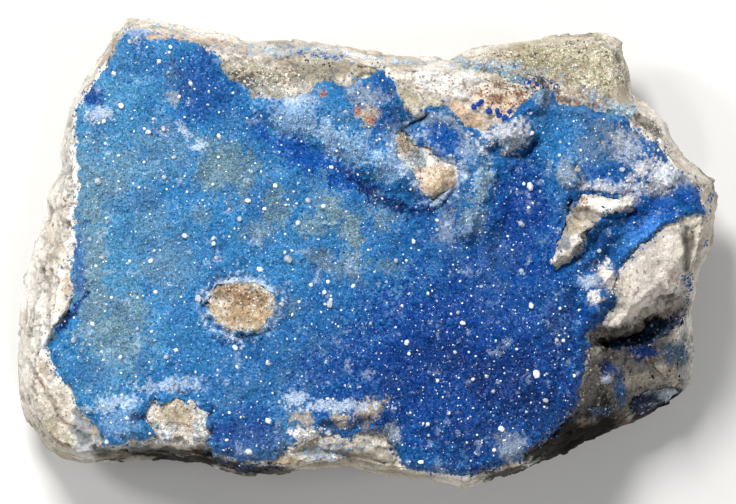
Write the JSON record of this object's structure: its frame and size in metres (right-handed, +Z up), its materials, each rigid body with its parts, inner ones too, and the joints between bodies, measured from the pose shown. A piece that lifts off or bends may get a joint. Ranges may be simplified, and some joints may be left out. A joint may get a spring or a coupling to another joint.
{
  "type": "kinoite mineral specimen",
  "caption": "Hand-sized block of pale rock lying on its back, its upper face covered by a crust of blue kinoite and clear apophyllite crystals, with bare rock showing through in places",
  "frame": {"origin": "centre of the bounding box's bottom, on the surface that the rock lies on", "axes": "+X along the rock's length, +Y across the crystal face, +Z up, away from the crystal face"},
  "size_m": [0.0842, 0.0562, 0.0301],
  "materials": {
    "rock": "rough broken rock, cream to olive beige with rust specks",
    "blue_crystal": "fine sparkling druse, deep blue to turquoise grey, with clear crystals",
    "hollow_crystal": "fine sparkling druse, blue with white crystals",
    "vein_crystal": "fine sparkling druse, deep blue"
  },
  "bodies": {
    "root": {"matrix": "rock", "main_druse": "blue_crystal", "hollow_druse": "hollow_crystal", "vein_druse": "vein_crystal"}
  },
  "joints": []
}
